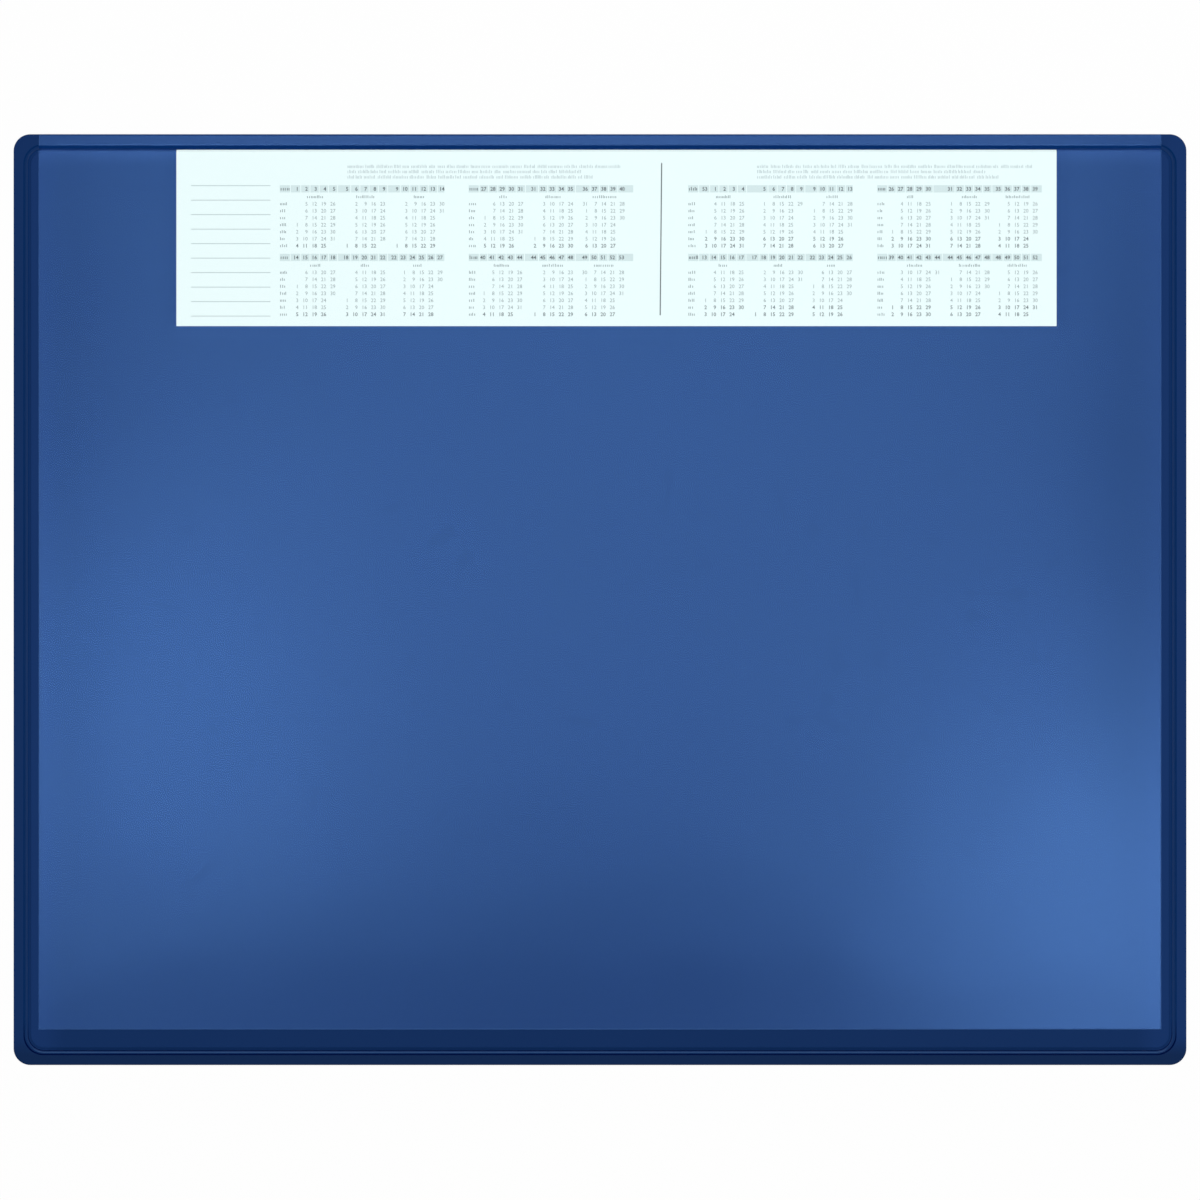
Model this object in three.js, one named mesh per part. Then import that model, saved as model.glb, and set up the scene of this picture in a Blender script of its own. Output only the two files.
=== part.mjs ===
// A desk mat of welded PVC. A non-slip backing and a coloured cover sheet are sealed together
// round a stiff filler board, a clear writing film is welded in along the far edge and lies
// loose on its other three sides, and a printed calendar strip is slid under the film.
//
// Millimetres. +X runs along the mat's long side, +Y to the edge with the calendar, +Z up.
// The origin is the middle of the underside, on the table.

import * as THREE from "three";

// The mat's outline
const matWidth = 630;
const matDepth = 500;
const matCornerRadius = 9;

// The sheets and the board, by thickness
const backingThickness = 0.5;
const boardThickness = 0.9;
const coverThickness = 0.45;
const filmThickness = 0.2;
const calendarThickness = 0.12;

// The weld all round: the rim outside it, its channel, and the bead left along its middle
const rimWidth = 5.6;
const rimCrown = 0.06;
const weldWidth = 2.5;
const weldWallRun = 0.25;
const weldedThickness = 0.2;
const weldCornerRadius = 9.5;
const beadWidth = 0.7;
const beadTopWidth = 0.4;
const beadHeight = 0.12;

// The cut edge that the sealing tool leaves, rounded above and below
const edgeRound = 0.3;
const backingEdgeRound = 0.15;

// The cover's slope from the weld up to the pad, and the board inside
const slopeRun = 1.8;
const boardClearance = 0.3;

// The writing film
const filmSideMargin = 13.6;
const filmFreeMargin = 19.2;
const filmWeldWidth = 1.6;
const filmWallRun = 0.3;
const filmStepRun = 4;
const filmStepLap = 0.5;

// The calendar strip
const calendarWidth = 472.5;
const calendarDepth = 94.8;
const calendarShift = 8.85;
const calendarClearance = 0.3;

// Bent sheets keep this above what they are bent over
const bendClearance = 0.03;

// Facets
const cornerSteps = 10;
const slopeSteps = 8;
const roundSteps = 4;
const crownSteps = 6;
const filmEndSteps = 4;
const filmWeldSteps = 3;

// Heights above the table
const backingTop = backingThickness;
const boardTop = backingTop + boardThickness;
const rimTop = backingTop + coverThickness;
const weldFloor = backingTop + weldedThickness;
const beadTop = weldFloor + beadHeight;
const padTop = boardTop + coverThickness;
const calendarTop = padTop + calendarThickness;

// Distances in from the mat's edge
const weldMiddle = rimWidth + weldWidth / 2;
const weldInner = rimWidth + weldWidth;
const padEdge = weldInner + slopeRun;
const boardEdge = padEdge + boardClearance;
const calendarFar = weldInner + calendarClearance;
const calendarNear = calendarFar + calendarDepth;
const filmWeldOuter = weldMiddle - filmWeldWidth / 2;
const filmWeldInner = weldMiddle + filmWeldWidth / 2;

const ease = (t) => t * t * (3 - 2 * t);
const steps = (count) => Array.from({ length: count + 1 }, (_, i) => i / count);

// The corner radius of the outline at a distance in from the mat's edge. Inside the rim every
// outline keeps to the weld's middle line, and across the rim it changes to the mat's own.
function cornerRadiusAt(inset) {
  const besideWeld = (distance) => weldCornerRadius + weldMiddle - distance;
  if (inset >= rimWidth) {
    return besideWeld(inset);
  }
  const share = inset / rimWidth;
  return matCornerRadius + (besideWeld(rimWidth) - matCornerRadius) * share;
}

// The points of a rectangle with round corners, anticlockwise from above
function roundedOutline(inset, z) {
  const radius = cornerRadiusAt(inset);
  const x = matWidth / 2 - inset - radius;
  const y = matDepth / 2 - inset - radius;
  const centres = [[x, -y], [x, y], [-x, y], [-x, -y]];
  return centres.flatMap(([cx, cy], corner) =>
    steps(cornerSteps).map((t) => {
      const angle = ((corner - 1 + t) * Math.PI) / 2;
      return [cx + radius * Math.cos(angle), cy + radius * Math.sin(angle), z];
    }),
  );
}

function meshGeometry(points, triangles) {
  const geometry = new THREE.BufferGeometry();
  geometry.setAttribute("position", new THREE.Float32BufferAttribute(points.flat(), 3));
  geometry.setIndex(triangles.flat());
  geometry.computeVertexNormals();
  return geometry;
}

// A solid between outlines joined in order, closed by a flat cap at each end. A station is a
// distance in from the mat's edge and a height.
function outlineLoft(stations) {
  const rings = stations.map(([inset, z]) => roundedOutline(inset, z));
  const count = rings[0].length;
  const triangles = [];
  for (let ring = 0; ring + 1 < rings.length; ring += 1) {
    for (let i = 0; i < count; i += 1) {
      const next = (i + 1) % count;
      const low = ring * count;
      const high = low + count;
      triangles.push([low + i, low + next, high + next], [low + i, high + next, high + i]);
    }
  }
  const cap = (ring) =>
    THREE.ShapeUtils.triangulateShape(ring.map(([x, y]) => new THREE.Vector2(x, y)), []);
  const last = (rings.length - 1) * count;
  triangles.push(...cap(rings[0]).map(([a, b, c]) => [a, c, b]));
  triangles.push(...cap(rings.at(-1)).map(([a, b, c]) => [last + a, last + b, last + c]));
  return meshGeometry(rings.flat(), triangles);
}

// A sheet of even thickness over a grid of x and y, with its underside at the height given
function drapedSheet(xs, ys, underside, thickness) {
  const low = ys.flatMap((y) => xs.map((x) => [x, y, underside(x, y)]));
  const high = low.map(([x, y, z]) => [x, y, z + thickness]);
  const up = low.length;
  const columns = xs.length;
  const at = (row, column) => row * columns + column;
  const triangles = [];
  for (let row = 0; row + 1 < ys.length; row += 1) {
    for (let column = 0; column + 1 < columns; column += 1) {
      const a = at(row, column);
      const b = at(row, column + 1);
      const c = at(row + 1, column + 1);
      const d = at(row + 1, column);
      triangles.push([a, c, b], [a, d, c]);
      triangles.push([up + a, up + b, up + c], [up + a, up + c, up + d]);
    }
  }
  const lastRow = ys.length - 1;
  const lastColumn = columns - 1;
  const border = [
    ...xs.map((_, i) => at(0, i)),
    ...ys.slice(1).map((_, i) => at(i + 1, lastColumn)),
    ...xs.slice(1).map((_, i) => at(lastRow, lastColumn - 1 - i)),
    ...ys.slice(1, -1).map((_, i) => at(lastRow - 1 - i, 0)),
  ];
  border.forEach((a, i) => {
    const b = border[(i + 1) % border.length];
    triangles.push([a, b, up + b], [a, up + b, up + a]);
  });
  return meshGeometry([...low, ...high], triangles);
}

// Stations along the soft bend from one inset and height to another
function bend(from, to, low, high, count) {
  return steps(count).map((t) => [from + (to - from) * t, low + (high - low) * ease(t)]);
}

// Stations round a quarter circle, from an upright side at inset 0 to a flat face at a height
function roundOver(radius, height) {
  return steps(roundSteps).map((t) => {
    const angle = (t * Math.PI) / 2;
    return [radius * (1 - Math.cos(angle)), height - radius * (1 - Math.sin(angle))];
  });
}

// Stations over a shallow crown that stands highest halfway between two insets
function crown(from, to, height, rise, count) {
  return steps(count).map((t) => [from + (to - from) * t, height + rise * 4 * t * (1 - t)]);
}

// The cover's upper surface from the rim's outer edge in to the pad
const coverSlope = bend(weldInner, padEdge, weldFloor, padTop, slopeSteps);
const coverSurface = [
  ...roundOver(edgeRound, rimTop - rimCrown).slice(0, -1),
  ...crown(edgeRound, rimWidth, rimTop - rimCrown, rimCrown, crownSteps),
  [rimWidth + weldWallRun, weldFloor],
  [weldMiddle - beadWidth / 2, weldFloor],
  [weldMiddle - beadTopWidth / 2, beadTop],
  [weldMiddle + beadTopWidth / 2, beadTop],
  [weldMiddle + beadWidth / 2, weldFloor],
  ...coverSlope,
];

function heightAlong(surface, inset) {
  const after = surface.findIndex(([at]) => at >= inset);
  if (after <= 0) {
    return (after === 0 ? surface[0] : surface.at(-1))[1];
  }
  const [fromInset, fromZ] = surface[after - 1];
  const [toInset, toZ] = surface[after];
  return fromZ + ((toZ - fromZ) * (inset - fromInset)) / (toInset - fromInset);
}

// The distance in from the far edge, taken round the weld's corners as the channel runs
function insetAt(x, y) {
  const reach = weldMiddle + weldCornerRadius;
  const beyondX = Math.max(0, Math.abs(x) - (matWidth / 2 - reach));
  const beyondY = y - (matDepth / 2 - reach);
  return beyondY > 0 ? reach - Math.hypot(beyondX, beyondY) : matDepth / 2 - y;
}

// The non-slip sheet under the whole mat, rounded at its lower edge
function backingSheet() {
  const lowerEdge = roundOver(backingEdgeRound, 0).map(([inset, z]) => [inset, -z]);
  return outlineLoft([...lowerEdge.reverse(), [0, backingTop]]);
}

// The stiff board sealed between the sheets, die-cut to clear the weld
function fillerBoard() {
  return outlineLoft([
    [boardEdge, backingTop],
    [boardEdge, boardTop],
  ]);
}

// The coloured sheet: flat over the board, down a soft slope into the weld's channel with its
// bead, and out across the crowned rim to the rounded cut edge
function coverSheet() {
  const underSlope = bend(weldInner, padEdge, backingTop, boardTop, slopeSteps);
  return outlineLoft([...underSlope.reverse(), [0, backingTop], ...coverSurface]);
}

// The film's underside by the rim: across it, and down the channel's wall to the bead
function filmByRim(inset) {
  const share = THREE.MathUtils.clamp((inset - filmWeldOuter) / filmWallRun, 0, 1);
  return rimTop + (beadTop - rimTop) * share;
}

// The film's underside from the bead in: up over the calendar, and past it down to the pad
function filmOverPad(inset) {
  if (inset <= filmWeldInner) {
    return beadTop;
  }
  if (inset < padEdge) {
    const share = (inset - filmWeldInner) / (padEdge - filmWeldInner);
    const free = beadTop + (calendarTop - beadTop) * ease(share);
    const overStrip = heightAlong(coverSlope, inset) + calendarThickness + 2 * bendClearance;
    return Math.max(free, overStrip);
  }
  const share = THREE.MathUtils.clamp((inset - calendarNear - filmStepLap) / filmStepRun, 0, 1);
  return calendarTop + (padTop - calendarTop) * ease(share);
}

// The clear writing film, welded in at the far edge and loose on the other three
function overlayFilm() {
  const halfWidth = matWidth / 2 - filmSideMargin;
  const cornerReach = weldMiddle + weldCornerRadius - filmSideMargin;
  const ends = steps(filmEndSteps).map((t) => halfWidth - cornerReach * t);
  const xs = [...ends.map((x) => -x), ...ends.reverse()];
  const stepFrom = calendarNear + filmStepLap;
  const insets = [
    0,
    filmWeldOuter,
    ...steps(filmWeldSteps).map((t) => filmWeldOuter + filmWallRun
      + (filmWeldWidth - filmWallRun) * t),
    weldInner,
    ...coverSlope.slice(1).map(([inset]) => inset),
    ...steps(slopeSteps).map((t) => stepFrom + filmStepRun * t),
    matDepth - filmFreeMargin,
  ];
  const ys = insets.map((inset) => matDepth / 2 - inset).reverse();
  const underside = (x, y) =>
    Math.max(filmByRim(insetAt(x, y)), filmOverPad(matDepth / 2 - y));
  return drapedSheet(xs, ys, underside, filmThickness);
}

// The calendar strip lies on the pad, and its far margin is bent down the slope to the weld
function calendarSheet() {
  const left = calendarShift - calendarWidth / 2;
  const xs = [left, left + calendarWidth];
  const underBend = coverSlope.map(([inset]) => inset).filter((inset) => inset > calendarFar);
  const insets = [calendarFar, ...underBend, calendarNear];
  const ys = insets.map((inset) => matDepth / 2 - inset).reverse();
  const underside = (_, y) => {
    const inset = matDepth / 2 - y;
    const height = heightAlong(coverSlope, inset);
    return height < padTop ? height + bendClearance : height;
  };
  return drapedSheet(xs, ys, underside, calendarThickness);
}

const navyPvc = { color: 0x15305b, roughness: 0.6, metalness: 0 };
const backingPvc = { color: 0x14171c, roughness: 0.85, metalness: 0 };
const greyBoard = { color: 0x8d8678, roughness: 0.9, metalness: 0 };
const clearFilm = { color: 0x7f9fdc, roughness: 0.4, metalness: 0, transparent: true, opacity: 0.35 };
const whitePaper = { color: 0xf2f4f2, roughness: 0.85, metalness: 0 };

function piece(name, geometry, finish) {
  const mesh = new THREE.Mesh(geometry, new THREE.MeshStandardMaterial(finish));
  mesh.name = name;
  return mesh;
}

const group = new THREE.Group();
group.name = "desk_mat";
group.add(
  piece("backing_sheet", backingSheet(), backingPvc),
  piece("filler_board", fillerBoard(), greyBoard),
  piece("cover_sheet", coverSheet(), navyPvc),
  piece("calendar_sheet", calendarSheet(), whitePaper),
  piece("overlay_film", overlayFilm(), clearFilm),
);

export default group;
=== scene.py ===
# A desk mat: a navy PVC cover welded to a non-slip backing round a stiff board, with a
# calendar strip and a clear writing film on top. Metres, +Y to the calendar, +Z up.

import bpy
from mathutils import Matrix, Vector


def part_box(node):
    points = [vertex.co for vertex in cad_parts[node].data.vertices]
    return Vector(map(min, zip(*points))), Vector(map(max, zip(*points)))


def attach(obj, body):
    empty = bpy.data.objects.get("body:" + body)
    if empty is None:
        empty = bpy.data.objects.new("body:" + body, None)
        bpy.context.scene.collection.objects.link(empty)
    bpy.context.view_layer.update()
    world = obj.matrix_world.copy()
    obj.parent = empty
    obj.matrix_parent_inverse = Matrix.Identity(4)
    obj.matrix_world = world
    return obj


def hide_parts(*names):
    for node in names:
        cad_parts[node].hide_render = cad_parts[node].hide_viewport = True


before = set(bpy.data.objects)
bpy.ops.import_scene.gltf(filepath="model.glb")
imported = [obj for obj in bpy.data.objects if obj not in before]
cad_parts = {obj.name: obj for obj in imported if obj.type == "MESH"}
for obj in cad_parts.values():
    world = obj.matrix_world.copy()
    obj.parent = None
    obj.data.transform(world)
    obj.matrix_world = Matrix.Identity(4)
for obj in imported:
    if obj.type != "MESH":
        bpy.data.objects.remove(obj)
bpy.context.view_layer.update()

import datetime
import math
import random

import bmesh
import bpy
from mathutils import Matrix, Vector, noise

# The cover sheet: navy PVC with a fine leather grain, laid over the board and sealed to the
# backing all round. The hot bar of the sealing tool presses a smooth channel with a bead along
# its middle, and trims the sheets to a rounded edge outside it.

MM = 0.001
cover_low, cover_high = (Vector(corner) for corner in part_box("cover_sheet"))
backing_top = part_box("backing_sheet")[1][2]
board_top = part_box("filler_board")[1][2]
pad_top = cover_high.z
cover_thickness = pad_top - board_top
rim_top = backing_top + cover_thickness
weld_floor = backing_top + 0.2 * MM
bead_top = weld_floor + 0.12 * MM
rim_width = 5.6 * MM
weld_width = 2.5 * MM
weld_middle = rim_width + weld_width / 2
weld_inner = rim_width + weld_width
slope_run = 1.8 * MM
pad_margin = 0.3 * MM
pad_edge = weld_inner + slope_run
mat_corner = 9 * MM
weld_corner = 9.5 * MM
edge_round = 0.35 * MM
rim_crown = 0.07 * MM
rim_lip = rim_top - 1.6 * rim_crown
crown_shares = (0.15, 0.3, 0.5, 0.7, 0.85, 0.95)
wall_run = 0.3 * MM
crease_width = 0.45 * MM
bead_foot = 0.36 * MM
bead_shoulder = 0.2 * MM
bead_crest = 0.1 * MM
bead_round = 0.02 * MM
corner_steps = 18
slope_steps = 14


class Maths:
    """A number that changes over a surface, on which + and * add Math nodes."""

    def __init__(self, finish, socket):
        self.finish = finish
        self.socket = socket

    def _with(self, operation, first, second):
        settings = {"operation": operation}
        return self.finish.node("ShaderNodeMath", settings, {0: first, 1: second})

    def __add__(self, other):
        return self._with("ADD", self, other)

    def __mul__(self, other):
        return self._with("MULTIPLY", self, other)

    __radd__ = __add__
    __rmul__ = __mul__


class Finish:
    """A material: its Principled shader, set by name, and any other node by its type."""

    def __init__(self, name, **shader):
        self.material = bpy.data.materials.new(name)
        self.material.use_nodes = True
        self.tree = self.material.node_tree
        self.shader = self.tree.nodes["Principled BSDF"]
        self.place = self.node("ShaderNodeTexCoord", output="Object")
        self.set(**shader)

    def set(self, **shader):
        for name, value in shader.items():
            self.put(self.shader.inputs[name.replace("_", " ")], value)

    def put(self, socket, value):
        if isinstance(value, Maths):
            self.tree.links.new(value.socket, socket)
        elif isinstance(value, tuple) and len(value) == 3 and socket.type == "RGBA":
            socket.default_value = (*value, 1)
        else:
            socket.default_value = value

    def node(self, kind, settings=None, values=None, output=0):
        made = self.tree.nodes.new(kind)
        for name, value in (settings or {}).items():
            setattr(made, name, value)
        for name, value in (values or {}).items():
            self.put(made.inputs[name], value)
        return Maths(self, made.outputs[output])

    def noise(self, per_metre, detail=2, roughness=0.5):
        values = {"Vector": self.place, "Scale": per_metre}
        values.update({"Detail": detail, "Roughness": roughness})
        return self.node("ShaderNodeTexNoise", None, values)

    def ramp(self, axis, start, end):
        """0 before the start of a stretch along one of the piece's axes, and 1 past its end."""
        along = self.node("ShaderNodeSeparateXYZ", None, {"Vector": self.place}, output=axis)
        values = {"Value": along, "From Min": start, "From Max": end}
        return self.node("ShaderNodeMapRange", None, values)

    def cells(self, per_metre):
        values = {"Vector": self.place, "Scale": per_metre}
        return self.node("ShaderNodeTexVoronoi", None, values)

    def mix(self, share, first, second):
        settings = {"data_type": "RGBA"}
        return self.node("ShaderNodeMix", settings, {0: share, 6: first, 7: second}, output=2)

    def mottled(self, per_metre, first, second, detail=1):
        """A colour that drifts between two tones."""
        return self.mix(self.noise(per_metre, detail=detail), first, second)

    def bump(self, height, depth, strength=1.0):
        values = {"Height": height, "Distance": depth, "Strength": strength}
        self.set(Normal=self.node("ShaderNodeBump", None, values))


def clamped(value):
    return min(1.0, max(0.0, value))


def ease(share):
    share = clamped(share)
    return share * share * (3 - 2 * share)


def bend(start, end, low, high):
    """Stations along the soft bend from one inset and height to another."""
    shares = [i / slope_steps for i in range(slope_steps + 1)]
    return [(start + (end - start) * t, low + (high - low) * ease(t)) for t in shares]


def corner_at(inset):
    """The outline's corner radius at an inset: the weld's own, easing to the mat's at its edge."""
    beside_weld = weld_corner + weld_middle - max(inset, rim_width)
    share = min(inset / rim_width, 1)
    return mat_corner + (beside_weld - mat_corner) * share


def corner_centre(inset):
    reach = inset + corner_at(inset)
    return Vector((cover_high.x - reach, cover_high.y - reach))


def first_outline(mesh, inset, height):
    """A rectangle with round corners, as a loop of edges."""
    x, y = cover_high.x - inset, cover_high.y - inset
    signs = ((1, -1), (1, 1), (-1, 1), (-1, -1))
    corners = [mesh.verts.new((a * x, b * y, height)) for a, b in signs]
    mesh.faces.new(corners)
    bmesh.ops.bevel(mesh, geom=corners, offset=corner_at(inset), offset_type="OFFSET",
                    segments=corner_steps, profile=0.5, affect="VERTICES", material=-1)
    face = mesh.faces[:][0]
    edges = face.edges[:]
    bmesh.ops.delete(mesh, geom=[face], context="FACES_ONLY")
    return edges


def next_outline(mesh, edges, old_inset, inset, height, slot):
    """Extrudes an outline and reshapes the new one to its own inset, corner and height."""
    made = bmesh.ops.extrude_edge_only(mesh, edges=edges)["geom"]
    old_centre, centre = corner_centre(old_inset), corner_centre(inset)
    growth = corner_at(inset) / corner_at(old_inset)
    for vert in (item for item in made if isinstance(item, bmesh.types.BMVert)):
        side = Vector((math.copysign(1, vert.co.x), math.copysign(1, vert.co.y)))
        out = (vert.co.xy - side * old_centre) * growth
        vert.co = (*(side * centre + out), height)
    for face in (item for item in made if isinstance(item, bmesh.types.BMFace)):
        face.material_index = slot
        face.smooth = True
    return [item for item in made if isinstance(item, bmesh.types.BMEdge)]


def lofted(name, stations):
    """A closed piece through outlines. A station is an inset, a height and a material slot."""
    mesh = bmesh.new()
    inset, height, slot = stations[0]
    edges = first_outline(mesh, inset, height)
    bmesh.ops.edgeloop_fill(mesh, edges=edges)
    for next_inset, height, slot in stations[1:]:
        edges = next_outline(mesh, edges, inset, next_inset, height, slot)
        inset = next_inset
    bmesh.ops.edgeloop_fill(mesh, edges=edges)
    bmesh.ops.recalc_face_normals(mesh, faces=mesh.faces)
    return finished(name, mesh)


def finished(name, mesh):
    data = bpy.data.meshes.new(name)
    mesh.to_mesh(data)
    mesh.free()
    piece = bpy.data.objects.new(name, data)
    bpy.context.scene.collection.objects.link(piece)
    return piece


GRAINED, RIM, CREASE, PRESSED, BEAD = 0, 1, 2, 3, 4
under_slope = bend(pad_edge, weld_inner, board_top, backing_top)
outer_edge = [
    (edge_round * (1 - math.cos(math.radians(angle))),
     rim_top - rim_crown - edge_round * (1 - math.sin(math.radians(angle))))
    for angle in range(0, 91, 15)
]
crown = [
    (rim_width * share, rim_top - rim_crown * (2 * share - 1) ** 4)
    for share in crown_shares
]
outer_crease = [
    (rim_width + wall_run / 3, rim_lip),
    (rim_width + wall_run, weld_floor + bead_round),
    (rim_width + wall_run * 4 / 3, weld_floor),
]
bead = [
    (weld_middle - bead_foot, weld_floor, PRESSED),
    (weld_middle - bead_shoulder, bead_top - bead_round, PRESSED),
    (weld_middle - bead_crest, bead_top, BEAD),
    (weld_middle + bead_crest, bead_top, BEAD),
    (weld_middle + bead_shoulder, bead_top - bead_round, BEAD),
    (weld_middle + bead_foot, weld_floor, PRESSED),
    (weld_inner - crease_width, weld_floor, PRESSED),
]
pad_slope = bend(weld_inner, pad_edge, weld_floor, pad_top)[1:]
cover_stations = [
    *((inset, height, GRAINED) for inset, height in under_slope),
    (0, backing_top, GRAINED),
    *((inset, height, RIM) for inset, height in outer_edge + crown),
    *((inset, height, CREASE) for inset, height in outer_crease),
    *bead,
    (weld_inner, weld_floor, CREASE),
    *((inset, height, GRAINED) for inset, height in pad_slope),
    (pad_edge + pad_margin, pad_top, GRAINED),
]
cover = lofted("cover", cover_stations)

X, Y = 0, 1
navy_deep = (0.0018, 0.021, 0.092)
navy_light = (0.0045, 0.0285, 0.123)
# The darker navy of the painted shade on the rim along the near edge.
navy_painted_shade_near_edge = (0.002, 0.0172, 0.0715)
leather_per_metre, cloud_per_metre = 1100, 7
leather_depth = 0.05 * MM
# Where a painted sheen lightens the navy: the stretches towards the left and right sides, and
# towards the right side of the rim.
side_from, side_to = cover_high.x - 27 * MM, cover_high.x - 17 * MM
right_from, right_to = cover_high.x - 25 * MM, cover_high.x - 5 * MM
# How much lighter the painted sheen makes the navy at the sides and the rim at the right.
painted_sheen_gain = 0.6


def leather_grained(finish):
    """Raises the leather grain on a finish, and gives its tone from the deep navy to the light."""
    grain = finish.noise(leather_per_metre, detail=1)
    finish.set(Roughness=0.5 + grain * 0.2)
    finish.bump(grain, leather_depth, 0.4)
    return finish.noise(cloud_per_metre, detail=1) * 0.44 + grain * 0.16


def near_share(finish, start, end):
    """A share that rises from 0 at one distance from the mat's near edge to 1 at another."""
    return finish.ramp(Y, cover_low.y + start, cover_low.y + end)


navy = Finish("navy PVC", Specular_IOR_Level=0.06)
# Lighter towards the left and right edges: a painted sheen that stands in for the side lights' glare
# on the border.
painted_side_sheen = navy.ramp(X, -side_from, -side_to) + navy.ramp(X, side_from, side_to)
# The tone is the leather grain's random tone plus the painted sheen at the sides.
navy_grain_and_painted_sheen = leather_grained(navy) + painted_side_sheen * painted_sheen_gain
navy.set(Base_Color=navy.mix(navy_grain_and_painted_sheen, navy_deep, navy_light))

rim_navy = Finish("navy PVC rim", Specular_IOR_Level=0.06)
# The rim's grain tone, lighter towards the right side: a painted sheen, as if from a light at the
# right.
rim_grain_and_painted_sheen = leather_grained(rim_navy) + rim_navy.ramp(X, right_from, right_to) * painted_sheen_gain
rim_colour = rim_navy.mix(rim_grain_and_painted_sheen, navy_deep, navy_light)
# Darker towards the near edge: painted shade on the rim, as if the light came from beyond the far
# edge.
painted_shade_near_edge = near_share(rim_navy, 15 * MM, 5.5 * MM)
rim_navy.set(Base_Color=rim_navy.mix(painted_shade_near_edge, rim_colour, navy_painted_shade_near_edge))

creased_navy = Finish("navy PVC crease", Specular_IOR_Level=0.0, Roughness=0.4)
# Darker in the crease along the near edge: painted shade in the weld's groove.
painted_shade_near_crease = near_share(creased_navy, 25 * MM, 12 * MM)
crease_colour_with_painted_shade = creased_navy.mix(painted_shade_near_crease, (0.0014, 0.0200, 0.092), (0.0, 0.004, 0.040))
creased_navy.set(Base_Color=crease_colour_with_painted_shade)

pressed_navy = Finish("navy PVC pressed smooth", Specular_IOR_Level=0.05, Roughness=0.3)
pressed_colour = pressed_navy.mottled(300, (0.0020, 0.021, 0.092), (0.0028, 0.024, 0.103))
pressed_navy.set(Base_Color=pressed_colour)

bead_navy = Finish("navy PVC bead", Specular_IOR_Level=0.04, Roughness=0.35)
# Lighter on the bead along the near edge: a painted highlight, the back light's glint on the bead's
# crest.
painted_highlight_near_bead = near_share(bead_navy, 9.5 * MM, 7.2 * MM)
bead_colour_with_painted_highlight = bead_navy.mix(painted_highlight_near_bead, (0.0035, 0.027, 0.110), (0.032, 0.080, 0.20))
bead_navy.set(Base_Color=bead_colour_with_painted_highlight)

for finish in (navy, rim_navy, creased_navy, pressed_navy, bead_navy):
    cover.data.materials.append(finish.material)
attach(cover, "root")
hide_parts("cover_sheet")

# The backing: a thin black PVC sheet with a fine raised grain that grips the desk. It is welded
# to the cover round the edge, and lies flat under the whole mat.

grip_per_metre, grip_depth = 700, 0.12 * MM
backing = Finish("non-slip backing", Specular_IOR_Level=0.35)
grip = backing.cells(grip_per_metre)
backing_tone = backing.noise(9) * 0.5 + grip * 0.5
backing.set(Base_Color=backing.mix(backing_tone, (0.009, 0.010, 0.013), (0.018, 0.019, 0.023)))
backing.set(Roughness=0.7 + backing.noise(40) * 0.15)
backing.bump(grip + backing.noise(2200) * 0.4, grip_depth, 0.8)
bpy.data.objects["backing_sheet"].material_slots[0].material = backing.material

# The filler board: stiff grey board, die-cut and sealed between backing and cover. It can't be
# seen on a whole mat.

fibre_depth = 0.03 * MM
board = Finish("grey board", Specular_IOR_Level=0.2)
fibres = board.noise(600, detail=5) * 0.6 + board.noise(60) * 0.4
board.set(Base_Color=board.mix(fibres, (0.2, 0.185, 0.15), (0.33, 0.31, 0.26)))
board.set(Roughness=0.82 + fibres * 0.12)
board.bump(fibres, fibre_depth, 0.5)
bpy.data.objects["filler_board"].material_slots[0].material = board.material

# The calendar strip: one sheet of smooth white printing paper. It lies loose under the film, and
# is pushed up to the weld at the far edge.

strip_low, strip_high = (Vector(corner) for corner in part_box("calendar_sheet"))
pulp_depth = 0.01 * MM
paper = Finish("calendar paper", Specular_IOR_Level=0.3)
pulp = paper.noise(350, detail=4) * 0.7 + paper.noise(12) * 0.3
paper.set(Base_Color=paper.mix(pulp, (0.805, 0.95, 0.94), (0.845, 0.98, 0.97)))
paper.set(Roughness=0.78 + pulp * 0.1)
paper.bump(pulp, pulp_depth, 0.4)
bpy.data.objects["calendar_sheet"].material_slots[0].material = paper.material

# The print on the strip, in thin grey ink: ruled lines for notes, then two years of plain day and
# week numbers in quarters. Words are rows of plain strokes. Each ink is a few thousandths thick.

TINT, RULE, PALE, MIDDLE, DARK = 0, 1, 2, 3, 4
ink_low = strip_high.z + 0.003 * MM
ink_coat = 0.004 * MM
figure_height = 2.0 * MM
font_size = 1.42 * figure_height
bold, heavy = 0.05 * MM, 0.06 * MM
stroke_width = 0.42 * MM
stroke_heights = (0.72, 0.72, 1.0)
stroke_pitches = (1.7, 2.9)
merge_distance = 0.0001 * MM
bar_mesh = bmesh.new()
figure_mesh = bmesh.new()
pen = random.Random(7)


def bar(left, right, middle, height, slot, lean=0.0):
    """A printed bar between two x places, with its middle at a y place. A tint is one coat thick."""
    thickness = ink_coat if slot == TINT else 2 * ink_coat
    place = Matrix.Translation(((left + right) / 2, middle, ink_low + thickness / 2))
    turn = Matrix.Rotation(lean, 4, "Z")
    size = Matrix.Diagonal((right - left, height, thickness, 1))
    corners = bmesh.ops.create_cube(bar_mesh, size=1, matrix=place @ turn @ size)["verts"]
    for face in {face for corner in corners for face in corner.link_faces}:
        face.material_index = slot


def strokes(left, right, foot, height, slot, width=stroke_width):
    """Upright strokes of uneven height and pitch, which stand in for a word."""
    at = left
    while at < right:
        tall = height * pen.choice(stroke_heights)
        bar(at, at + width, foot + tall / 2, tall, slot)
        at += width * pen.uniform(*stroke_pitches)


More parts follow.
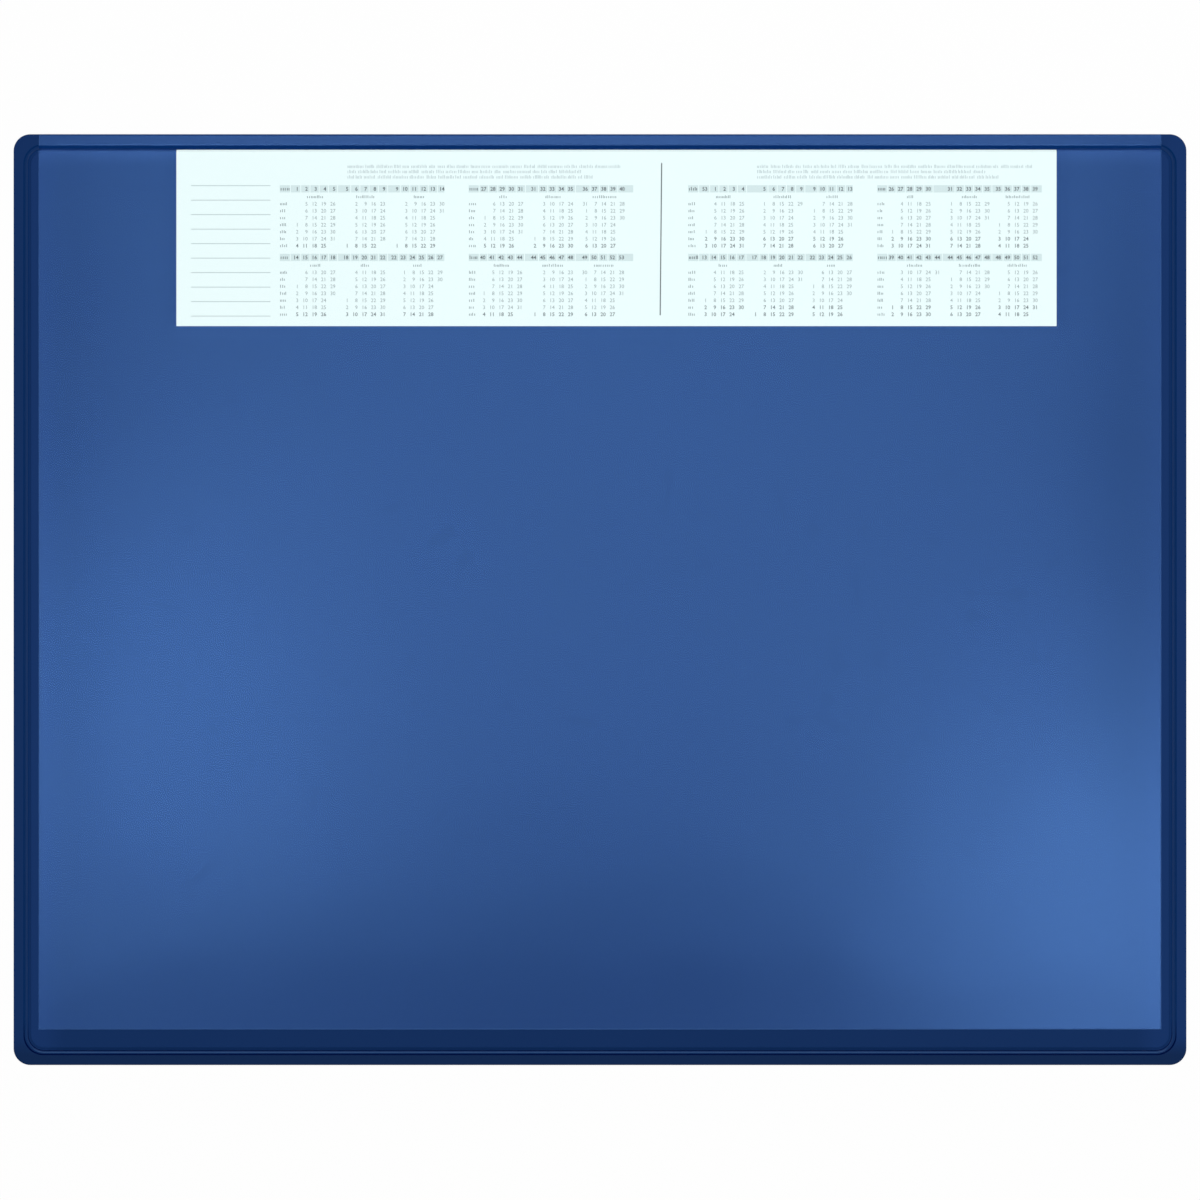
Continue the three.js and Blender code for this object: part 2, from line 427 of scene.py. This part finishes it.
def figures(rows, right, middle, pitch, slot, weight=0.0):
    """A column of numbers, aligned right, with the first one's middle at a y place."""
    text = bpy.data.curves.new("figures", "FONT")
    text.body = "\n".join(rows)
    text.align_x = "RIGHT"
    text.size = font_size
    text.space_line = pitch / text.size
    text.resolution_u = 2
    text.offset = weight
    text.extrude = ink_coat
    stand = bpy.data.objects.new("figures", text)
    bpy.context.scene.collection.objects.link(stand)
    data = bpy.data.meshes.new_from_object(stand)
    place = (right, middle - figure_height / 2, ink_low + ink_coat)
    data.transform(Matrix.Translation(place))
    for polygon in data.polygons:
        polygon.material_index = slot
    figure_mesh.from_mesh(data)
    bpy.data.objects.remove(stand)
    bpy.data.curves.remove(text)
    bpy.data.meshes.remove(data)


rule_width = 0.4 * MM
note_left, note_right = -219.5 * MM, -176.9 * MM
note_top, note_pitch, note_lines = 222.2 * MM, 7.78 * MM, 10
for line in range(note_lines):
    bar(note_left, note_right, note_top - note_pitch * line, rule_width, RULE)

divider_middle = Vector((32.7, 193.5)) * MM
divider_half, divider_length, divider_lean = 0.3 * MM, 81.7 * MM, -0.0098
divider_left, divider_right = divider_middle.x - divider_half, divider_middle.x + divider_half
bar(divider_left, divider_right, divider_middle.y, divider_length, DARK, divider_lean)

column_pitch, row_pitch = 4.95 * MM, 3.75 * MM
rows_drop = 8.0 * MM
header_length, header_height, header_gap = 88.8 * MM, 3.9 * MM, 0.45 * MM
header_first_cell = 5.9 * MM
header_word_left, header_word_right = 0.5 * MM, 4.9 * MM
header_word_drop, header_word_height = 0.9 * MM, 1.9 * MM
weekday_left, weekday_right, weekday_step = 0.2 * MM, 3.5 * MM, 0.3 * MM
weekday_drop, weekday_height = rows_drop + 0.8 * MM, 1.6 * MM
name_drop, name_height, name_shift = 5.0 * MM, 1.5 * MM, 0.3 * MM
name_widths = (8.4, 9.2, 6.0, 5.0, 4.4, 4.6, 3.6, 7.8, 12.4, 8.6, 11.0, 10.4)
figures_reach, cell_margin = 1.4 * MM, 1.4 * MM
first_year, second_year = 2015, 2016
first_bold_row = {first_year: 6, second_year: 5}


def monday(day):
    return day - datetime.timedelta(days=day.weekday())


def month_weeks(year, month, count):
    """The Mondays of a month's columns, which begin early where the month fills too few."""
    first_day = datetime.date(year, month, 1)
    last_day = datetime.date(year + month // 12, month % 12 + 1, 1) - datetime.timedelta(days=1)
    spare = max(0, count - 1 - (monday(last_day) - monday(first_day)).days // 7)
    first_week = monday(first_day) - datetime.timedelta(weeks=spare)
    return [first_week + datetime.timedelta(weeks=i) for i in range(count)]


def quarter(year, number, left, top, months):
    """Three months: the bar of week numbers, strokes for each name, and the days in columns."""
    word_foot = top - header_word_drop
    strokes(left + header_word_left, left + header_word_right, word_foot, header_word_height, DARK)
    for row in range(7):
        foot = top - weekday_drop - row_pitch * row
        word_right = left + weekday_right - weekday_step * (row % 3)
        strokes(left + weekday_left, word_right, foot, weekday_height, PALE)
    cuts = [left, left + header_first_cell]
    first_bold = first_bold_row[year]
    rows_top, bold_top = top - rows_drop, top - rows_drop - row_pitch * first_bold
    weeks = []
    for place, (start, count) in enumerate(months):
        month = 3 * number + place + 1
        earlier, weeks = weeks, month_weeks(year, month, count)
        first_column = left + start * MM
        name_middle = first_column + column_pitch * (count - 1) / 2 + name_shift
        name_half = name_widths[month - 1] * MM / 2
        name_ends = name_middle - name_half, name_middle + name_half
        strokes(*name_ends, top - name_drop, name_height, PALE)
        for column, week in enumerate(weeks):
            right = first_column + column_pitch * column + figures_reach
            cuts.append(right + cell_margin)
            figures([str(week.isocalendar()[1])], right, top, row_pitch, DARK, heavy)
            left_over = month - 1 if earlier and week not in earlier else month
            days = [week + datetime.timedelta(days=row) for row in range(7)]
            shown = [str(day.day) if day.month in (month, left_over) else "" for day in days]
            if any(shown[:first_bold]):
                figures(shown[:first_bold], right, rows_top, row_pitch, PALE)
            if any(shown[first_bold:]):
                figures(shown[first_bold:], right, bold_top, row_pitch, MIDDLE, bold)
    cuts[-1] = left + header_length
    for cell_left, cell_right in zip(cuts, cuts[1:]):
        bar(cell_left, cell_right - header_gap, top, header_height, TINT)


# Each quarter has its year and number, its place, and its months' first columns and their counts.
block_lefts = [place * MM for place in (-171.9, -70.5, 47.3, 148.8)]
upper_row, lower_row = 220.5 * MM, 183.7 * MM
quarters = [
    (first_year, 0, block_lefts[0], upper_row, [(8.7, 5), (35.5, 5), (62.3, 6)]),
    (first_year, 1, block_lefts[0], lower_row, [(8.7, 5), (35.5, 5), (61.3, 6)]),
    (first_year, 2, block_lefts[1], upper_row, [(8.1, 5), (34.9, 5), (62.6, 5)]),
    (first_year, 3, block_lefts[1], lower_row, [(7.6, 5), (34.9, 5), (62.3, 5)]),
    (second_year, 0, block_lefts[2], upper_row, [(9.0, 5), (40.3, 5), (67.1, 5)]),
    (second_year, 1, block_lefts[2], lower_row, [(8.7, 5), (35.5, 6), (66.7, 5)]),
    (second_year, 2, block_lefts[3], upper_row, [(7.6, 5), (39.2, 5), (65.0, 5)]),
    (second_year, 3, block_lefts[3], lower_row, [(7.6, 6), (39.2, 5), (65.0, 5)]),
]
for year, number, left, top, months in quarters:
    quarter(year, number, left, top, months)

# Each line of small print has its left and right ends and its foot, in millimetres.
small_height, small_stroke = 1.8 * MM, 0.34 * MM
word_lengths, word_gap = (2.2, 8.5), 1.2
small_print = [
    (-135.5, 10.8, 231.7), (-135.5, -10.2, 228.9), (-135.5, -4.3, 226.0),
    (84.4, 231.7, 231.7), (84.4, 207.0, 228.9), (84.4, 214.0, 226.0),
]
for left, right, foot in small_print:
    at = left
    while at < right:
        end = min(at + pen.uniform(*word_lengths), right)
        strokes(at * MM, end * MM, foot * MM, small_height, RULE, small_stroke)
        at = end + word_gap

bmesh.ops.remove_doubles(figure_mesh, verts=figure_mesh.verts, dist=merge_distance)
printed = [finished("calendar_bars", bar_mesh), finished("calendar_figures", figure_mesh)]
inks = {
    "header tint": ((0.62, 0.76, 0.76), (0.66, 0.80, 0.80)),
    "ruling ink": ((0.42, 0.52, 0.53), (0.50, 0.60, 0.61)),
    "pale ink": ((0.24, 0.30, 0.31), (0.31, 0.38, 0.39)),
    "middle ink": ((0.15, 0.19, 0.20), (0.21, 0.25, 0.26)),
    "dark ink": ((0.085, 0.105, 0.11), (0.13, 0.155, 0.16)),
}
for name, (thick, thin) in inks.items():
    ink = Finish(name, Roughness=0.7, Specular_IOR_Level=0.3)
    ink.set(Base_Color=ink.mottled(1500, thick, thin, detail=3))
    for piece in printed:
        piece.data.materials.append(ink.material)
for piece in printed:
    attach(piece, "root")

# The writing film: clear PVC with a matte, finely grained face that gives it a milky blue cast.
# It is welded in along the far edge, lies over the strip, and its other edges are loose.

film_low, film_high = (Vector(corner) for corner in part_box("overlay_film"))
film_thickness = 0.2 * MM
film_weld_half = 0.8 * MM
film_weld = (weld_middle - film_weld_half, weld_middle + film_weld_half)
film_wall = 0.3 * MM
film_lift = 0.02 * MM
film_rise_run = 1.3 * MM
film_spring = 0.2 * MM
spring_run, spring_from, spring_fade = 12 * MM, 20 * MM, 60 * MM
wave_height = 0.22 * MM
long_per_metre, short_per_metre = 9, 21
wave_from, wave_growth, wave_margin = 10 * MM, 120 * MM, 45 * MM
film_cut = 0.55 * MM
film_pitch, band_pitch = 4 * MM, 1.2 * MM
weld_pitch, rise_pitch = 0.25 * MM, 0.2 * MM
far_band = 24 * MM
strip_lap = 0.5 * MM
strip_step = 4 * MM
strip_thickness = strip_high.z - pad_top
FIELD, CUT_EDGE, FUSED, OVER_STRIP = 0, 1, 2, 3


def evenly(start, end, pitch):
    count = max(1, round(abs(end - start) / pitch))
    return [start + (end - start) * i / count for i in range(count + 1)]


def inset_at(x, y):
    """How far in from the far edge a place is, taken round the weld's corners."""
    reach = weld_middle + weld_corner
    beyond = Vector((max(0, abs(x) - cover_high.x + reach), y - cover_high.y + reach))
    return reach - beyond.length if beyond.y > 0 else cover_high.y - y


def over_strip(x, y):
    """1 where the film lies on the strip, easing to 0 past its edges."""
    beside = max(strip_low.x - x, x - strip_high.x, strip_low.y - y) - strip_lap
    return 1 - ease(beside / strip_step)


def wave(x, y, per_metre, layer):
    return noise.noise(Vector((x * per_metre, y * per_metre, layer)))


def film_height(x, y):
    """The film's underside: over the rim, down into the weld, and up over the strip or pad."""
    from_edge = cover_high.y - y
    past_weld = from_edge - film_weld[1]
    by_rim = rim_top + (bead_top - rim_top) * clamped((inset_at(x, y) - film_weld[0]) / film_wall)
    lying = pad_top + strip_thickness * over_strip(x, y) + film_lift
    rise = ease(past_weld / film_rise_run)
    sprung = ease(past_weld / spring_run) * (1 - ease((from_edge - spring_from) / spring_fade))
    to_edge = min(y - film_low.y, film_high.x - abs(x))
    loose = clamped((from_edge - wave_from) / wave_growth) * ease(to_edge / wave_margin)
    waving = wave(x, y, long_per_metre, 3.1) + 0.5 * wave(x, y, short_per_metre, 8.4)
    above = film_spring * sprung + wave_height * loose * (1 + waving)
    return max(by_rim, bead_top + (lying - bead_top) * rise + above)


strip_far, strip_near = cover_high.y - strip_high.y, cover_high.y - strip_low.y
film_end = cover_high.y - film_low.y
columns = [
    film_low.x,
    *evenly(film_low.x + film_cut, strip_low.x, film_pitch),
    *evenly(strip_low.x, strip_high.x, film_pitch)[1:],
    *evenly(strip_high.x, film_high.x - film_cut, film_pitch)[1:],
    film_high.x,
]
insets = [
    *evenly(0, film_weld[0], band_pitch),
    *evenly(film_weld[0] + film_wall, film_weld[1], weld_pitch),
    *evenly(film_weld[1], strip_far, rise_pitch)[1:],
    *evenly(strip_far, pad_edge, rise_pitch)[1:],
    *evenly(pad_edge, far_band, band_pitch)[1:],
    *evenly(far_band, strip_near, film_pitch)[1:],
    *evenly(strip_near, film_end - film_cut, film_pitch)[1:],
    film_end,
]
film_mesh = bmesh.new()
bmesh.ops.create_grid(film_mesh, x_segments=len(columns) - 1, y_segments=len(insets) - 1, size=0.5)
for vert in film_mesh.verts:
    x = columns[round((vert.co.x + 0.5) * (len(columns) - 1))]
    y = cover_high.y - insets[round((0.5 - vert.co.y) * (len(insets) - 1))]
    vert.co = (x, y, film_height(x, y))
for face in film_mesh.faces:
    face.smooth = True
    middle = face.calc_center_median()
    from_weld = inset_at(middle.x, middle.y)
    if film_weld[0] < from_weld < film_weld[1]:
        face.material_index = FUSED
    elif strip_low.x < middle.x < strip_high.x and strip_low.y < middle.y < strip_high.y:
        face.material_index = OVER_STRIP
    elif min(middle.y - film_low.y, film_high.x - abs(middle.x)) < film_cut:
        face.material_index = CUT_EDGE
film = finished("film", film_mesh)
wall = film.modifiers.new("thickness", "SOLIDIFY")
wall.thickness = film_thickness
wall.offset = 1

haze_tint = (0.155, 0.375, 0.91)


def far_share(finish, start, end):
    """A share that rises from 0 at one distance from the mat's far edge to 1 at another."""
    return finish.ramp(Y, cover_high.y - start, cover_high.y - end)


clear = Finish("clear film", IOR=3.4, Specular_IOR_Level=1.0, Specular_Tint=haze_tint)
speckle = clear.noise(800, detail=1)
clear.set(Base_Color=clear.mix(speckle, (0.038, 0.118, 0.66), (0.042, 0.134, 0.72)))
clear.set(Roughness=0.215 + speckle * 0.03)
# The film is less clear and so brighter in a band from 6 to 17 mm from the far edge, most from 8 to
# 11 mm: a painted glare, the back light's reflection on the film's rise from the weld.
painted_glare_band = far_share(clear, 17 * MM, 11 * MM) + far_share(clear, 6 * MM, 8 * MM)
clear.set(Alpha=0.034 + painted_glare_band * 0.024)
cut_edge = Finish("film cut edge", Alpha=0.08, IOR=3.0, Specular_IOR_Level=1.0, Roughness=0.35)
cut_edge.set(Base_Color=cut_edge.mottled(400, (0.10, 0.30, 0.9), (0.16, 0.40, 1.0)))
cut_edge.set(Specular_Tint=haze_tint)
fused = Finish("film fused in the weld", Alpha=0.88, Roughness=0.4, Specular_IOR_Level=0.0)
fused.set(Base_Color=fused.mottled(300, (0.002, 0.024, 0.125), (0.003, 0.029, 0.145)))
over_paper = Finish("clear film flat on paper", Alpha=0.012, Roughness=0.4)
over_paper.set(Base_Color=over_paper.mottled(800, (0.4, 0.6, 0.95), (0.5, 0.7, 1.0)))
for finish in (clear, cut_edge, fused, over_paper):
    film.data.materials.append(finish.material)
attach(film, "root")
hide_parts("overlay_film")

# The studio: a plain white table, an even white room, three soft boxes above the mat and one
# beyond its far edge, with the camera straight over it. Looked at from below, the table is clear.

floor_drop, floor_half, table_glow = 0.05 * MM, 6, 0.93
floor_mesh = bmesh.new()
floor_place = Matrix.Translation((0, 0, -floor_drop))
bmesh.ops.create_grid(floor_mesh, x_segments=1, y_segments=1, size=floor_half, matrix=floor_place)
floor = finished("floor", floor_mesh)
table = Finish("white table", Base_Color=(0.86, 0.86, 0.86), Roughness=0.9, Specular_IOR_Level=0.0)
seen = table.node("ShaderNodeLightPath", output="Is Camera Ray")
in_gloss = table.node("ShaderNodeLightPath", output="Is Glossy Ray")
through = table.node("ShaderNodeLightPath", output="Is Transmission Ray")
glow = table.node("ShaderNodeEmission", None, {"Color": (1, 1, 1), "Strength": 1.0})
glow_share = (seen + in_gloss + through) * table_glow
lit = Maths(table, table.shader.outputs[0])
upper_face = table.node("ShaderNodeMixShader", None, {0: glow_share, 1: lit, 2: glow})
from_below = table.node("ShaderNodeNewGeometry", output="Backfacing")
no_face = table.node("ShaderNodeBsdfTransparent")
surface = table.node("ShaderNodeMixShader", None, {0: from_below, 1: upper_face, 2: no_face})
table.tree.links.new(surface.socket, table.tree.nodes["Material Output"].inputs["Surface"])
floor.data.materials.append(table.material)

room_light = 0.535
world = bpy.data.worlds.new("room")
world.use_nodes = True
background = world.node_tree.nodes["Background"]
background.inputs["Color"].default_value = (1, 1, 1, 1)
background.inputs["Strength"].default_value = room_light
bpy.context.scene.world = world

camera_height = 1.9


def glare_place(x, y):
    """Where a light at the camera's height stands for its glare to fall at a place on the mat."""
    return (2 * x, 2 * y, camera_height)


def soft_box(name, place, size, power):
    """A square light that faces the middle of the mat."""
    light = bpy.data.lights.new(name, "AREA")
    light.shape = "SQUARE"
    light.size = size
    light.energy = power
    stand = bpy.data.objects.new(name, light)
    stand.location = place
    stand.rotation_euler = Vector(place).to_track_quat("Z", "Y").to_euler()
    bpy.context.scene.collection.objects.link(stand)


soft_box("overhead box", glare_place(0, 0.135), size=1.2, power=11.8)
soft_box("left box", glare_place(-0.262, -0.085), size=0.45, power=2.2)
soft_box("right box", glare_place(0.285, -0.175), size=0.38, power=3.5)
soft_box("back box", (0.5, 1.7, 1.5), size=1.2, power=8)

frame_width = 0.6448
frame_shift = -0.2 * MM
camera = bpy.data.cameras.new("camera")
camera.lens = camera.sensor_width * camera_height / frame_width
overhead = bpy.data.objects.new("camera", camera)
overhead.location = (0, frame_shift, camera_height)
bpy.context.scene.collection.objects.link(overhead)
bpy.context.scene.camera = overhead

bpy.context.scene.view_settings.view_transform = "Standard"
